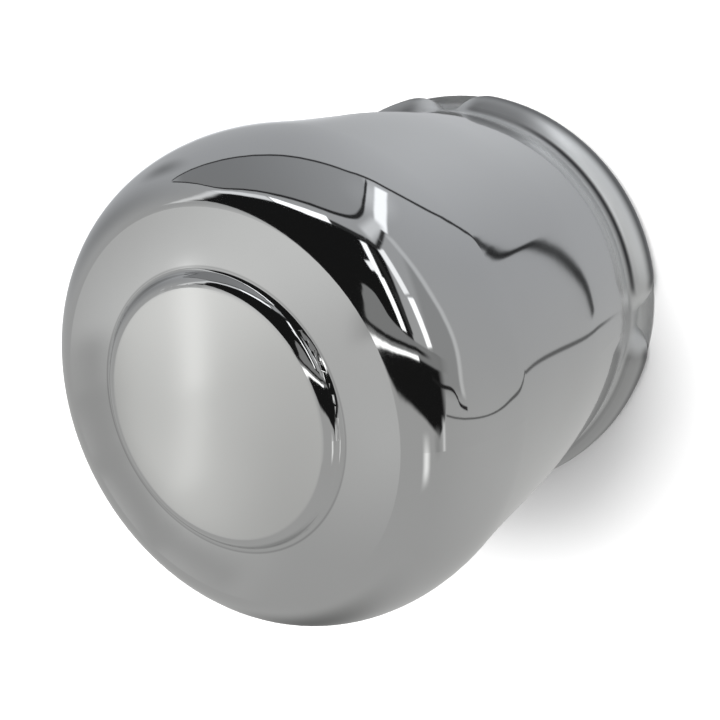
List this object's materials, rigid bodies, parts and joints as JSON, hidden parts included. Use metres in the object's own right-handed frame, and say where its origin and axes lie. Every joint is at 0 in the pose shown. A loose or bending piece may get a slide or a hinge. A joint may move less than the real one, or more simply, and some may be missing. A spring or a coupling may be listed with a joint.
{
  "type": "wheel center cap",
  "caption": "Closed chrome-plated push-through cap for a wheel's centre bore: round boss, rounded shoulder, straight body, and beads at the open rear edge that stop it in the wheel.",
  "frame": {"origin": "centre of the open rear edge, on the plane that the edge rests on", "axes": "+Z along the cap's axis, from the open rear edge to the boss; the four gaps between the beads lie on +X, +Y, -X and -Y"},
  "size_m": [0.1148, 0.1148, 0.1125],
  "materials": {
    "plated_steel": "bright chrome plate"
  },
  "bodies": {
    "root": {"cap_shell": "plated_steel"}
  },
  "joints": []
}
